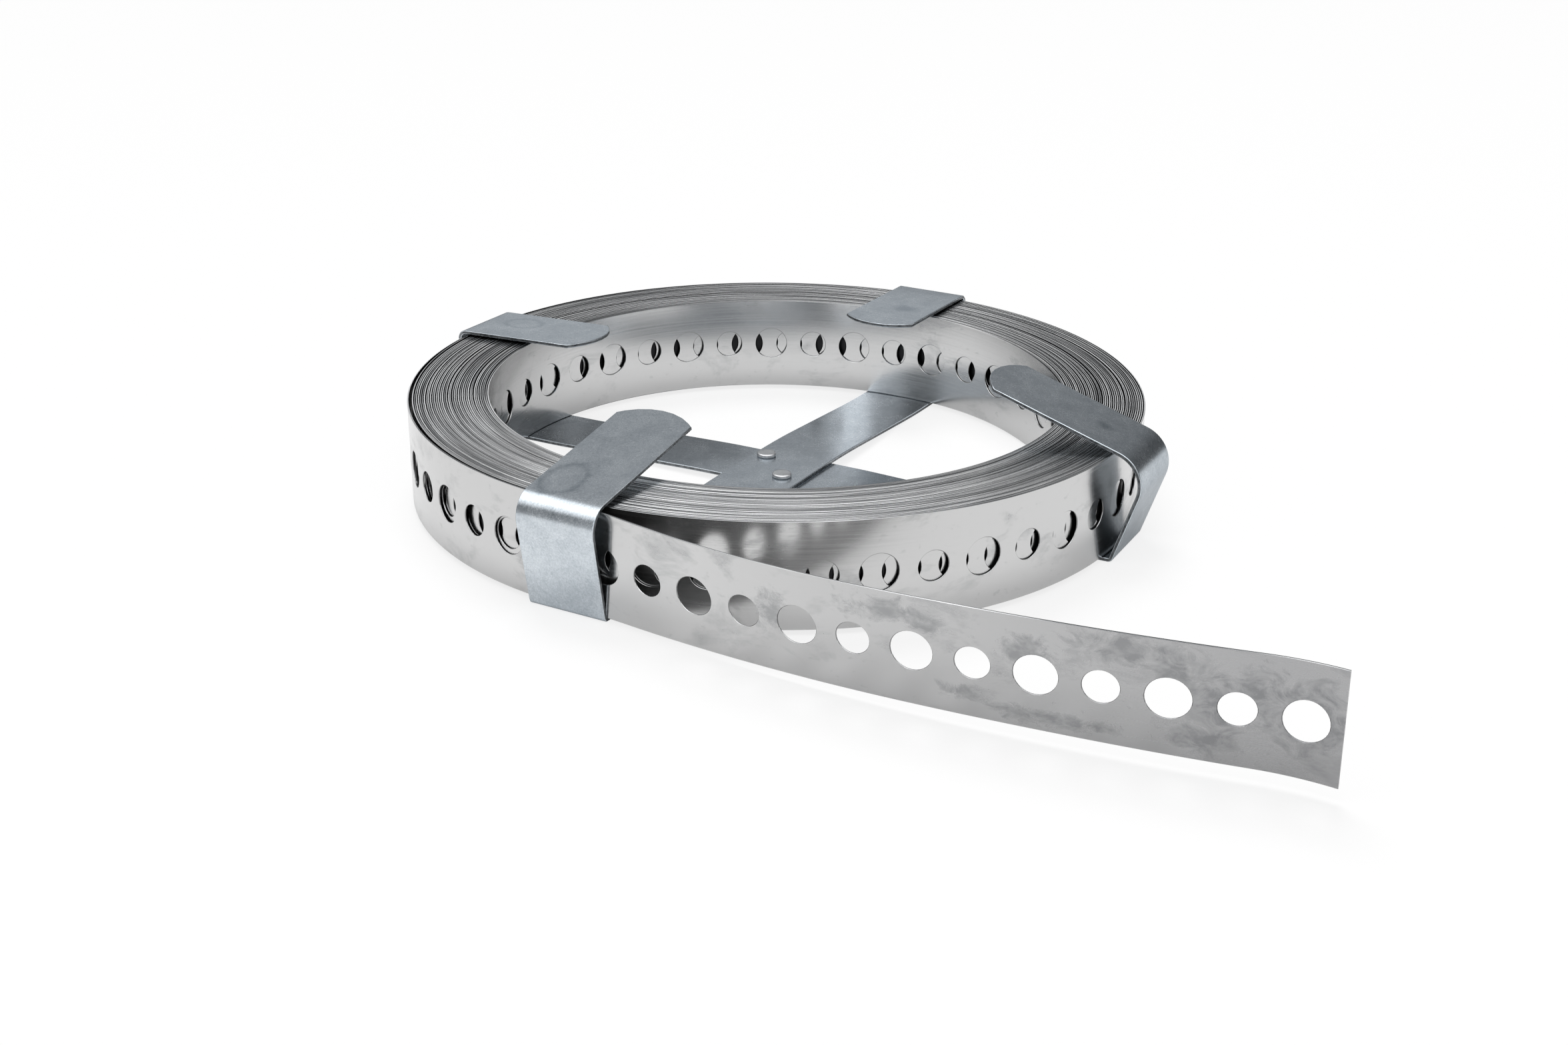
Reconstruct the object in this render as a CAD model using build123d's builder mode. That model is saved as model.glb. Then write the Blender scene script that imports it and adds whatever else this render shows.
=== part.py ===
import os
from math import cos, degrees, pi, radians, sin

from build123d import *

# A coil of perforated steel strap, held flat by a riveted cross of two bars
# whose ends are bent up and over the coil. The frame: z = 0 is the floor, the
# coil's axis is the z axis, and the free end of the strap leaves towards +X.

# Strap section and its row of round holes, big and small in turn
strap_width = 25.0
strap_thickness = 0.5
big_hole_diameter = 8.8
small_hole_diameter = 7.2
hole_pitch = 12.5
end_to_hole = 6.75

# Coil
turns = 40
bore_diameter = 142.8
turns_in_band = 10
band_shift = 0.4
recess_sides = 10

# Free end, outside the coil: straight from under a clip, bent away from the
# coil, then a long easy curve back, and a flick outwards at the cut
tail_azimuth = -122.0
tail_root_depth = 1.5
tail_turn_in = 1.1
tail_straight = 14.0
tail_bend_radius = 100.0
tail_bend_angle = 6.2
tail_curve_radius = 398.0
tail_curve_angle = 18.3
tail_flick_radius = 66.0
tail_flick_angle = 17.3
tail_lean = 6.3

# Inner end of the strap, standing on the floor inside the coil's bore
inner_end_azimuth = 43.0
inner_end_sweep = 50.0

# Cross bars
bar_width = 20.0
bar_thickness = 1.0
upper_bar_azimuth = 60.9
upper_bar_shift = 0.1
lower_bar_azimuth = -28.3
lower_bar_shift = 2.0
crossing_land = 38.0
bow_radius = 300.0
foot_inside_bore = 9.0

# Clips: the bar ends that are bent round the coil
clip_clearance = 0.4
tongue_clearance = 0.5
lower_bend_radius = 0.9
wide_bend_radius = 5.0
tight_bend_radius = 2.0
tip_bulge = 4.5
front_left_lean = 10.4
back_right_lean = 0.5
right_lean = 17.8
left_back_lean = 0.5
front_tongue_length = 35.5
back_right_tongue_length = 33.0
left_back_tongue_length = 30.5

# Rivets through both bars
rivet_middle = (-0.6, 0.9)
rivet_azimuth = 105.3
rivet_spacing = 15.1
rivet_shank_diameter = 3.0
rivet_head_diameter = 4.7
rivet_head_height = 1.2
rivet_head_chamfer = 0.5

# Worked out from the sizes above
bore_radius = bore_diameter / 2
coil_radius = bore_radius + turns * strap_thickness
coil_base = bar_thickness
coil_top = coil_base + strap_width
lower_bar_base = rivet_head_height
upper_bar_base = lower_bar_base + bar_thickness
outer_hole_pairs = int(pi * coil_radius / hole_pitch)
inner_end_length = radians(inner_end_sweep) * bore_radius
inner_end_hole_count = int(inner_end_length / hole_pitch)


def wall_recess(hole_diameter):
    """A many-sided cutter as wide as a hole and one turn deep, aimed along X."""
    with BuildPart() as cutter:
        with BuildSketch(Plane.YZ):
            RegularPolygon(hole_diameter / 2, recess_sides, major_radius=False)
        extrude(amount=strap_thickness, both=True)
    return cutter.part


# The coil: one turned solid. Its turns are in bands, every other one of which has
# slid along the axis a little, so that the winding shows as steps on both ends
with BuildPart() as coil:
    with BuildSketch(Plane.XZ):
        for first_turn in range(0, turns, turns_in_band):
            band_turns = min(turns_in_band, turns - first_turn)
            slid = band_shift if first_turn // turns_in_band % 2 == 0 else 0
            with Locations((bore_radius + first_turn * strap_thickness, coil_base + slid)):
                Rectangle(band_turns * strap_thickness, strap_width, align=Align.MIN)
    revolve(axis=Axis.Z)
    hole_step = degrees(hole_pitch / coil_radius)
    for hole_size, steps in ((big_hole_diameter, 1), (small_hole_diameter, 2)):
        with Locations((0, 0, coil_base + strap_width / 2)):
            with PolarLocations(
                coil_radius,
                outer_hole_pairs,
                start_angle=tail_azimuth - steps * hole_step,
                angular_range=-2 * hole_step * outer_hole_pairs,
            ):
                add(wall_recess(hole_size), mode=Mode.SUBTRACT)

# The inner end of the strap, lying against the bore and standing on the floor
with BuildPart() as inner_end:
    with BuildSketch():
        with BuildLine():
            against_bore = CenterArc(
                (0, 0), bore_radius, inner_end_azimuth, -inner_end_sweep
            )
            bare_side = CenterArc(
                (0, 0),
                bore_radius - strap_thickness,
                inner_end_azimuth,
                -inner_end_sweep,
            )
            Line(against_bore @ 0, bare_side @ 0)
            Line(against_bore @ 1, bare_side @ 1)
        make_face()
    extrude(amount=strap_width)
    for number in range(inner_end_hole_count):
        hole_size = small_hole_diameter if number % 2 else big_hole_diameter
        turned = degrees((end_to_hole + number * hole_pitch) / bore_radius)
        with Locations((0, 0, strap_width / 2)):
            with PolarLocations(bore_radius, 1, inner_end_azimuth - turned):
                Cylinder(
                    hole_size / 2,
                    2 * strap_thickness,
                    rotation=(0, 90, 0),
                    mode=Mode.SUBTRACT,
                )

# The free end's lower edge lies in a plane square to its lean outwards
tail_heading = radians(tail_azimuth + 90 + tail_turn_in)
tail_ahead = Vector(cos(tail_heading), sin(tail_heading), 0)
tail_outward = Vector(sin(tail_heading), -cos(tail_heading), 0)
tail_upright = Vector(0, 0, cos(radians(tail_lean))) + tail_outward * sin(
    radians(tail_lean)
)
tail_root_radius = coil_radius - tail_root_depth
tail_root = Vector(
    tail_root_radius * cos(radians(tail_azimuth)),
    tail_root_radius * sin(radians(tail_azimuth)),
    coil_base + strap_thickness / 2 * sin(radians(tail_lean)),
)
tail_plane = Plane(origin=tail_root, x_dir=tail_ahead, z_dir=tail_upright)

with BuildLine() as tail_line:
    straight = Line((0, 0), (tail_straight, 0))
    bend = JernArc(straight @ 1, straight % 1, tail_bend_radius, -tail_bend_angle)
    curve = JernArc(bend @ 1, bend % 1, tail_curve_radius, tail_curve_angle)
    flick = JernArc(curve @ 1, curve % 1, tail_flick_radius, -tail_flick_angle)
tail_path = tail_line.wires()[0]
tail_hole_count = int((tail_path.length - end_to_hole) / hole_pitch)


def tail_hole_plane(number):
    """The plane of a hole in the free end, counted from the cut, facing outwards."""
    share = 1 - (end_to_hole + number * hole_pitch) / tail_path.length
    middle = (tail_path @ share) + Vector(0, 0, strap_width / 2)
    ahead = tail_plane.from_local_coords(tail_path % share) - tail_plane.origin
    return Plane(
        origin=tail_plane.from_local_coords(middle),
        x_dir=ahead,
        z_dir=ahead.cross(tail_plane.z_dir),
    )


with BuildPart() as free_end:
    with BuildSketch(tail_plane):
        trace(tail_path, strap_thickness)
    extrude(amount=strap_width)
    for number in range(tail_hole_count):
        hole_size = small_hole_diameter if number % 2 else big_hole_diameter
        with BuildSketch(tail_hole_plane(number)):
            Circle(hole_size / 2)
        extrude(amount=2 * strap_thickness, both=True, mode=Mode.SUBTRACT)

with BuildPart() as perforated_strap:
    add(coil.part)
    add(inner_end.part)
    add(free_end.part)


def clip_corners(side, lean, bend_radius, tongue_length):
    """Corners of a bar's middle line at one end, from its foot to the tongue."""
    half = bar_thickness / 2
    foot_x = bore_radius - foot_inside_bore
    heel_x = coil_radius + clip_clearance + half
    along_x, along_z = sin(radians(lean)), cos(radians(lean))
    to_rim = (coil_radius - heel_x) * along_x + (coil_top - half) * along_z
    height = to_rim + tongue_clearance + half
    top_x = heel_x + height * along_x
    top_z = half + height * along_z
    run = tongue_length + bend_radius
    tip_x = top_x - run * along_z
    tip_z = top_z + run * along_x
    corners = ((foot_x, half), (heel_x, half), (top_x, top_z), (tip_x, tip_z))
    return [(side * x, z) for x, z in corners]


def rivet_places():
    """Plan positions of the two rivets, on the diagonal of the crossing."""
    reach = rivet_spacing / 2
    angle = radians(rivet_azimuth)
    x, y = rivet_middle
    return [
        (x + side * reach * cos(angle), y + side * reach * sin(angle))
        for side in (1, -1)
    ]


def cross_bar(azimuth, shift, base, far_end, near_end):
    """A flat bar along azimuth, shifted to its left from the coil's axis, bowed up
    in the middle and bent into a clip at each end. An end is given as its lean in
    degrees, upper bend radius and tongue."""
    turned = radians(azimuth)
    side_plane = Plane(
        origin=(-shift * sin(turned), shift * cos(turned), 0),
        x_dir=(cos(turned), sin(turned), 0),
        z_dir=(sin(turned), -cos(turned), 0),
    )
    middle = base + bar_thickness / 2
    land = [(-crossing_land / 2, middle), (crossing_land / 2, middle)]
    corners = [*reversed(clip_corners(-1, *near_end)), *land]
    corners += clip_corners(1, *far_end)
    bends = [near_end[1], lower_bend_radius, bow_radius, bow_radius]
    bends += [bow_radius, bow_radius, lower_bend_radius, far_end[1]]
    with BuildLine() as outline:
        FilletPolyline(*corners, radius=bends)
    middle_line = outline.wires()[0]
    with BuildPart() as bar:
        with BuildSketch(side_plane):
            trace(middle_line, bar_thickness)
        extrude(amount=bar_width / 2, both=True)
        for share, inwards in ((0, -1), (1, 1)):
            tip = side_plane.from_local_coords(middle_line @ share)
            ahead = side_plane.from_local_coords(middle_line % share) * inwards
            tongue_plane = Plane(
                origin=tip, x_dir=ahead, z_dir=side_plane.z_dir.cross(ahead)
            )
            with BuildSketch(tongue_plane):
                with BuildLine():
                    ThreePointArc(
                        (0, -bar_width / 2), (tip_bulge, 0), (0, bar_width / 2)
                    )
                    Line((0, bar_width / 2), (0, -bar_width / 2))
                make_face()
            extrude(amount=bar_thickness / 2, both=True)
        with Locations(*rivet_places()):
            Hole(rivet_shank_diameter / 2)
    return bar


upper_cross_bar = cross_bar(
    upper_bar_azimuth,
    upper_bar_shift,
    upper_bar_base,
    far_end=(back_right_lean, tight_bend_radius, back_right_tongue_length),
    near_end=(front_left_lean, wide_bend_radius, front_tongue_length),
)
lower_cross_bar = cross_bar(
    lower_bar_azimuth,
    lower_bar_shift,
    lower_bar_base,
    far_end=(right_lean, wide_bend_radius, front_tongue_length),
    near_end=(left_back_lean, tight_bend_radius, left_back_tongue_length),
)


def cross_rivet(place):
    """A rivet whose shank fills the holes in both bars, with a head at each end."""
    bar_top = upper_bar_base + bar_thickness
    with BuildPart() as rivet:
        with Locations((*place, lower_bar_base)):
            Cylinder(
                rivet_shank_diameter / 2,
                bar_top - lower_bar_base,
                align=(Align.CENTER, Align.CENTER, Align.MIN),
            )
        for head_base, rim in ((0, Align.MIN), (bar_top, Align.MAX)):
            with BuildPart(mode=Mode.PRIVATE) as head:
                with Locations((*place, head_base)):
                    Cylinder(
                        rivet_head_diameter / 2,
                        rivet_head_height,
                        align=(Align.CENTER, Align.CENTER, Align.MIN),
                    )
                rims = head.edges().filter_by(GeomType.CIRCLE).sort_by(Axis.Z)
                chamfer(rims[0 if rim == Align.MIN else -1], rivet_head_chamfer)
            add(head.part)
    return rivet


pieces = {
    "perforated_strap": perforated_strap,
    "upper_cross_bar": upper_cross_bar,
    "lower_cross_bar": lower_cross_bar,
}
for number, place in enumerate(rivet_places(), start=1):
    pieces[f"cross_rivet_{number}"] = cross_rivet(place)

os.makedirs("parts", exist_ok=True)
for name, piece in pieces.items():
    piece.part.label = name
    export_step(piece.part, f"parts/{name}.step")
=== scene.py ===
"""A coil of perforated steel strap in its riveted cross, with its looks, light and camera."""

from math import atan2, ceil, cos, degrees, pi, radians, sin, sqrt, tan

import bpy
import numpy as np
from mathutils import Matrix, Vector


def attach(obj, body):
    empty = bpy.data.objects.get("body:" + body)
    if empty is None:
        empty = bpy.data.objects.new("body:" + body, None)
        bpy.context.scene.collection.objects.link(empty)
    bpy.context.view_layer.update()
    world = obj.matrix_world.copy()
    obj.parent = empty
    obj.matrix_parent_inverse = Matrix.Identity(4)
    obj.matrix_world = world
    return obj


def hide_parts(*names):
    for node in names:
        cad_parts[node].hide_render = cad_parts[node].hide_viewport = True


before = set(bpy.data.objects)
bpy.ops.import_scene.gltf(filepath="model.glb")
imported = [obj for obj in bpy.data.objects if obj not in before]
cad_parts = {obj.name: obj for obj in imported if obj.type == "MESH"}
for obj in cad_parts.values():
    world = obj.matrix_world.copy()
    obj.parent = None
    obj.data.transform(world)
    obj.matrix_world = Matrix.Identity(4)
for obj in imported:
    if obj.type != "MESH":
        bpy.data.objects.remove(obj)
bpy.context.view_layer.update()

# Lengths are in millimetres up to the making of a mesh, which is in metres
MM = 0.001

# Strap
strap_width = 25.0
strip_thickness = 0.36
edge_round = 0.18
burr_round = 0.04
big_hole = 8.8
small_hole = 7.2
rim_round = 0.15

# The rim of a hole is bright only below this share of its radius up from its middle, and has a painted
# shade above it
rim_bright_below = -0.35

# Mesh of a perforated cell: rows up the strap, and columns along it
column_rows = 10
cell_columns = 6

# Coil, in degrees counted on from turn to turn, out from the inner end. Only some turns
# at the inside and at the outside have holes and light faces; the faces within the winding
# have a dark painted shade. The hidden ones between have a line every few degrees, and keep
# clear of the holes by a margin in such steps
coil_base = 1.0
bore_radius = 71.4
outer_line_radius = 91.22
turns = 40
inner_cut = -9.9
coil_end = 360.0 * turns - 126.5
line_step = 0.5
hidden_step = 3.0
hidden_margin = 0.3
perforated_turns = 3
light_turns = 3

# Round one azimuth the turns lie further in than elsewhere, the outer ones most. This
# fades between two counts of turns before the last
slack_middle = 178.0
slack_reach = 62.0
slack_gap = 0.75
slack_ends = (1.3, 0.7)

# Turns wander out and up in waves: size, waves per turn and start. The wandering
# upwards grows over some degrees from the inner end, and fades in the last turn
loose_turns = ((0.02, 0.37, 0.6), (0.022, 0.46, 2.2), (0.012, 0.29, 4.0))
wander_waves = ((0.05, 0.47, 1.0), (0.05, 0.36, 2.0), (0.025, 1.41, 0.5), (0.03, 0.22, 4.0))
wander_grows = 90.0
wander_ends = (0.9, 0.5)

# The inner end stands on the floor, and rises to the coil between these degrees from its cut
inner_rise = (8.0, 60.0)

# Free end: where it starts, its runs as length and turn to the left, and its lean and
# rise at some distances from its start. A curve joins the coil to it where the join is
tail_start = (-47.9, -77.3)
tail_heading = -33.84
tail_join = 5.0
tail_points = 700
join_points = 26
tail_runs = ((13.5, 0), (6.0, -2.7), (30.0, 4.3), (105.4, 13.7), (16.0, -16.6))
tail_lean = ((0, 0), (14, 2.2), (45, 7.0), (100, 7.6), (171, 4.5))
tail_rise = ((0, 0), (14, 0), (60, 0.5), (115, 1.5), (171, 1.8))

# Holes: those of the free end by distance from its cut, those of the coil by azimuth.
# An anchor is the number of an outer hole and its degrees back from the first, and the
# holes between two anchors are spread evenly
cut_to_hole = 7.0
hole_pitch = 12.5
tail_holes = 13
first_outer_hole = -130.1
outer_hole_anchors = ((0, 0), (35, 266.9), (40, 305.9), (41, 313.655))
first_inner_hole = -4.7
inner_hole_step = 9.618

# Cross bars
bar_width = 20.0
bar_thickness = 1.0
bar_round = 0.22
upper_bar_azimuth = 60.9
upper_bar_shift = 0.1
lower_bar_azimuth = -28.3
lower_bar_shift = 2.0
lower_bar_base = 1.2
upper_bar_base = 2.2
crossing_land = 38.0
bow_radius = 300.0
foot_radius = 62.4
coil_radius = 91.4
clip_clearance = 0.4
tongue_clearance = 0.5
lower_bend = 0.9
wide_bend = 5.5
wider_bend = 8.0
tight_bend = 2.0
tip_bulge = 4.5

# Each end of a bar: lean of its upright, bend over the coil and length of its tongue
front_left_end = (10.4, wide_bend, 35.0)
right_end = (17.8, wider_bend, 32.5)
back_right_end = (0.5, tight_bend, 33.0)
left_back_end = (0.5, tight_bend, 30.5)
left_back_skew = 4.5

# Mesh of a bar: its rows as shares of its half width, a bend's step in degrees and its
# least steps, and lines across each tongue by distance from its tip. No line is nearer
# to the tip than its bulge and this room
bar_rows = (-1, -0.85, -0.6, -0.3, 0, 0.3, 0.6, 0.85, 1)
bend_step = 5
least_bend_steps = 3
tongue_lines = (tip_bulge + 4, 16, 26)
tip_room = 3

# Dents of the bending tool on each bar, drawn as painted shade with some roughness and
# bump: distance from its near or far tip, place across, reach both ways, and whether it is
# a ring or a hollow
bar_dent_shades = {
    "upper_bar": (
        ("near", (34.0, 4.2), (6.2, 4.6), "ring"),
        ("far", (17.0, -2.0), (3.0, 4.0), "hollow"),
    ),
    "lower_bar": (
        ("near", (25.0, 3.0), (5.0, 4.0), "ring"),
        ("far", (29.5, -0.5), (2.4, 2.0), "hollow"),
    ),
}
ring_width = 0.24
ring_strength = 0.2
hollow_reach = (0.2, 1.2)
hollow_strength = 0.3

# Stains on the strap, as distance from its cut and height, with their reach. Each
# fades in between two multiples of its reach
stain_strength = 1.0
stain_fade = (1.5, 0.5)
strap_stains = (
    ((87.0, 20.8), (8.5, 2.3)),
    ((78.0, 19.0), (4.0, 2.0)),
    ((41.0, 21.5), (9.0, 3.2)),
    ((31.5, 18.5), (6.0, 4.5)),
    ((23.0, 14.0), (4.5, 6.5)),
    ((16.0, 16.5), (6.0, 5.0)),
    ((6.0, 12.5), (7.0, 7.0)),
    ((25.0, 4.5), (6.0, 2.6)),
    ((54.0, 3.5), (10.0, 1.8)),
    ((71.0, 5.5), (5.0, 1.6)),
    ((113.0, 14.5), (3.5, 4.0)),
    ((60.0, 17.0), (5.0, 3.0)),
)

# Strip: its tints where clean and smudged, of a painted shade near the cut, and along its
# cut edges. The painted shade near the cut fades out between two distances from it, where
# the strip is also rougher, and a face in painted shade has a share of the clean and
# smudged tints. Faces deep in the winding have a dark painted shade
strip_clean = (0.61, 0.61, 0.61)
strip_smudged = (0.4, 0.405, 0.41)
strip_end_shade = (0.62, 0.62, 0.63)
strip_edge_dark = (0.19, 0.195, 0.2)
strip_edge_light = (0.92, 0.92, 0.92)
strip_roughness = (0.15, 0.23)
smudge_roughness = 0.14
near_cut_roughness = 0.08
end_shade_strength = 0.9
near_cut_reach = (15.0, 130.0)
shaded_share = 0.5
deep_shade_dark = (0.012, 0.012, 0.013)
deep_shade_light = (0.035, 0.035, 0.037)
deep_shade_roughness = (0.3, 0.45)

# Zinc of the bars, of their sheared edges, darkened further as a painted shadow line, and of the rivets
zinc_edge_tint = (0.6, 0.61, 0.62)
bar_dark = (0.37, 0.415, 0.455)
bar_light = (0.78, 0.825, 0.865)
bar_roughness = (0.22, 0.3)
sheared_dark = (0.07, 0.075, 0.08)
sheared_light = (0.22, 0.23, 0.24)
sheared_roughness = 0.4
rivet_dark = (0.6, 0.61, 0.62)
rivet_light = (0.82, 0.83, 0.84)
rivet_roughness = (0.3, 0.4)

# Rivets
rivet_middle = (-0.6, 0.9)
rivet_spacing = 15.1
rivet_azimuth = 105.3
rivet_head_radius = 2.45
rivet_head_height = 1.2
rivet_shank_radius = 1.5
rivet_sides = 48
rivet_sharp_angle = 50

# Section of a rivet's head, as shares of its radius and its height
rivet_rim = ((0.86, 0.0), (0.88, 0.1), (1.0, 0.2), (1.0, 0.6))
rivet_dome = (*rivet_rim, (0.96, 0.78), (0.87, 0.89), (0.7, 0.95), (0.4, 0.99), (0.0, 1.0))

# Camera, solved from the photograph, and the nearest that it sees, in metres
camera_distance = 497.48
camera_elevation = 21.40
camera_roll = -0.674
camera_aim_right = 0.24
camera_aim_up = -1.39
camera_lens = 44.66
camera_sensor = 36.0
camera_near = 0.01

# Studio, in metres: lamps and panels as azimuth, elevation, distance, size and
# power, or brightness at the left and at the right. The floor's glow is the share of
# plain white in what the camera sees of it, and in what metal shows
world_light = 0.42
floor_size = 8
floor_white = 0.9
floor_roughness = 0.9
floor_glow = 0.8
floor_glow_in_metal = 0.25
key_azimuth = 105.0
key_elevation = 62.0
key_strength = 1.7
key_spread = 30.0
lamps = (("overhead", 270.0, 76.0, 2.0, (2.4, 0.7), 12.0),)
panels = (
    ("back_low", 90.0, 5.0, 1.6, (5.0, 0.33), 0.14, 0.14),
    ("back_band", 90.0, 15.8, 1.62, (5.0, 0.34), 0.92, 0.88),
    ("back_high", 90.0, 46.0, 1.6, (5.0, 1.53), 0.42, 0.21),
    ("front_low", 244.5, 21.0, 1.5, (2.1, 0.9), 0.85, 0.85),
    ("front_right_low", 322.0, 21.0, 1.5, (2.1, 0.9), 0.36, 0.36),
    ("front_high", 270.0, 63.0, 1.5, (3.0, 1.1), 1.9, 1.9),
    ("front_left_box", 236.0, 21.0, 1.4, (0.34, 0.6), 2.8, 2.8),
    ("left_low", 203.0, 17.0, 1.45, (0.46, 0.82), 0.06, 0.06),
    ("left_high", 166.0, 51.0, 1.45, (0.9, 0.42), 2.3, 2.3),
    ("left_window", 135.0, 19.0, 1.4, (0.5, 0.35), 0.9, 0.9),
    ("right_low", 30.0, 14.0, 1.5, (1.95, 0.5), 0.08, 0.08),
)
panel_tint = (0.985, 1.0, 1.015)

# Shares of a panel's width between which its left brightness turns into its right one
fade_from, fade_to = 0.48, 0.72


def smooth_between(t, start, away, end, into):
    """A cubic curve from start to end, with its slopes at both, read at every t."""
    return (
        (2 * t**3 - 3 * t**2 + 1) * start
        + (t**3 - 2 * t**2 + t) * away
        + (3 * t**2 - 2 * t**3) * end
        + (t**3 - t**2) * into
    )


def curve_through(points, x):
    """A smooth curve through a few points, read at every x."""
    at = np.array([p[0] for p in points], float)
    value = np.array([p[1] for p in points], float)
    slope = np.gradient(value, at)
    x = np.clip(x, at[0], at[-1])
    i = np.clip(np.searchsorted(at, x) - 1, 0, len(at) - 2)
    span = at[i + 1] - at[i]
    t = (x - at[i]) / span
    return smooth_between(t, value[i], span * slope[i], value[i + 1], span * slope[i + 1])


def smooth_step(x, low, high):
    """0 up to low, 1 from high on, and smooth between them."""
    t = np.clip((x - low) / (high - low), 0, 1)
    return t * t * (3 - 2 * t)


def coil_line(angle):
    """Radius of the strip's middle and height of its lower edge, at each angle of the winding."""
    line_radius = bore_radius + strip_thickness / 2
    spacing = (outer_line_radius - line_radius) / ((coil_end - inner_cut) / 360)
    turn = (angle - inner_cut) / 360
    azimuth = (angle - slack_middle + 180) % 360 - 180
    slack = np.cos(np.clip(azimuth / slack_reach, -1, 1) * pi / 2) ** 2
    inside = 1 - smooth_step(turn, turns - slack_ends[0], turns - slack_ends[1])
    radius = line_radius + spacing * turn - slack_gap * slack * inside * turn / turns
    for size, cycles, start in loose_turns:
        radius = radius + size * np.sin(2 * pi * cycles * turn + start)
    wander = np.zeros_like(turn)
    for size, cycles, start in wander_waves:
        wander += size * (1 + np.sin(2 * pi * cycles * turn + start))
    wander *= 1 - smooth_step(turn, turns - wander_ends[0], turns - wander_ends[1])
    wander *= smooth_step(angle, inner_cut, inner_cut + wander_grows)
    fallen = coil_base * (1 - smooth_step(angle, inner_cut + inner_rise[0], inner_cut + inner_rise[1]))
    return radius, coil_base - fallen + wander


def tail_line():
    """Distances, plan points and headings along the free end's lower edge."""
    length = sum(run for run, _ in tail_runs)
    s = np.linspace(0, length, tail_points)
    heading = np.full_like(s, tail_heading)
    start = 0
    for run, turn in tail_runs:
        heading += turn * np.clip((s - start) / run, 0, 1)
        start += run
    step = s[1] - s[0]
    along = np.radians((heading[1:] + heading[:-1]) / 2)
    x = tail_start[0] + np.concatenate([[0], np.cumsum(np.cos(along) * step)])
    y = tail_start[1] + np.concatenate([[0], np.cumsum(np.sin(along) * step)])
    return s, x, y, heading


def joining_curve(start, start_heading, end, end_heading, count):
    """Points and headings of a smooth curve between two points with given headings."""
    t = np.linspace(0, 1, count)[1:-1, None]
    reach = np.linalg.norm(end - start)
    away = reach * np.array([cos(radians(start_heading)), sin(radians(start_heading))])
    into = reach * np.array([cos(radians(end_heading)), sin(radians(end_heading))])
    points = smooth_between(t, start, away, end, into)
    slope = (
        (6 * t**2 - 6 * t) * start
        + (3 * t**2 - 4 * t + 1) * away
        + (6 * t - 6 * t**2) * end
        + (3 * t**2 - 2 * t) * into
    )
    return points, np.degrees(np.arctan2(slope[:, 1], slope[:, 0]))


def linked(name, data):
    """A new object in the scene."""
    made = bpy.data.objects.new(name, data)
    bpy.context.scene.collection.objects.link(made)
    return made


class StrapPath:
    """The strap's line from its inner end to its outer cut."""

    def __init__(self):
        angle = np.arange(inner_cut, coil_end, line_step)
        angle = np.append(angle, coil_end)
        radius, height = coil_line(angle)
        plan = np.stack([radius * np.cos(np.radians(angle)), radius * np.sin(np.radians(angle))], 1)
        heading = angle + 90
        s, x, y, tail_turned = tail_line()
        kept = s >= tail_join
        tail_plan = np.stack([x[kept], y[kept]], 1)
        joint, joint_heading = joining_curve(
            plan[-1], heading[-1] % 360, tail_plan[0], tail_turned[kept][0] % 360, join_points
        )
        whole_turns = 360 * round((heading[-1] - tail_heading) / 360)
        joint_heading = joint_heading + whole_turns
        self.coil_angle = angle
        self.plan = np.concatenate([plan, joint, tail_plan])
        self.heading = np.concatenate([heading, joint_heading, tail_turned[kept] + whole_turns])
        lean = curve_through(tail_lean, s[kept])
        rise = coil_base + curve_through(tail_rise, s[kept])
        joint_share = np.linspace(0, 1, len(joint) + 2)[1:-1]
        self.lean = np.concatenate([np.zeros(len(plan)), lean[0] * joint_share, lean])
        joint_height = height[-1] + (rise[0] - height[-1]) * joint_share
        self.height = np.concatenate([height, joint_height, rise])
        steps = np.linalg.norm(np.diff(self.plan, axis=0), axis=1)
        self.s = np.concatenate([[0], np.cumsum(steps)])
        self.length = self.s[-1]

    def at_angle(self, angle):
        """Distance along the strap where the coil has come to angle."""
        return float(np.interp(angle, self.coil_angle, self.s[: len(self.coil_angle)]))

    def frame_at(self, s):
        """Foot point, and the directions along, up and outwards, at every s."""
        x = np.interp(s, self.s, self.plan[:, 0])
        y = np.interp(s, self.s, self.plan[:, 1])
        z = np.interp(s, self.s, self.height)
        turned = np.radians(np.interp(s, self.s, self.heading))
        lean = np.radians(np.interp(s, self.s, self.lean))
        zero = np.zeros_like(x)
        along = np.stack([np.cos(turned), np.sin(turned), zero], 1)
        sideways = np.stack([np.sin(turned), -np.cos(turned), zero], 1)
        upright = np.array([0.0, 0.0, 1.0])
        up = sideways * np.sin(lean)[:, None] + upright * np.cos(lean)[:, None]
        out = sideways * np.cos(lean)[:, None] - upright * np.sin(lean)[:, None]
        return np.stack([x, y, z], 1), along, up, out


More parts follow.
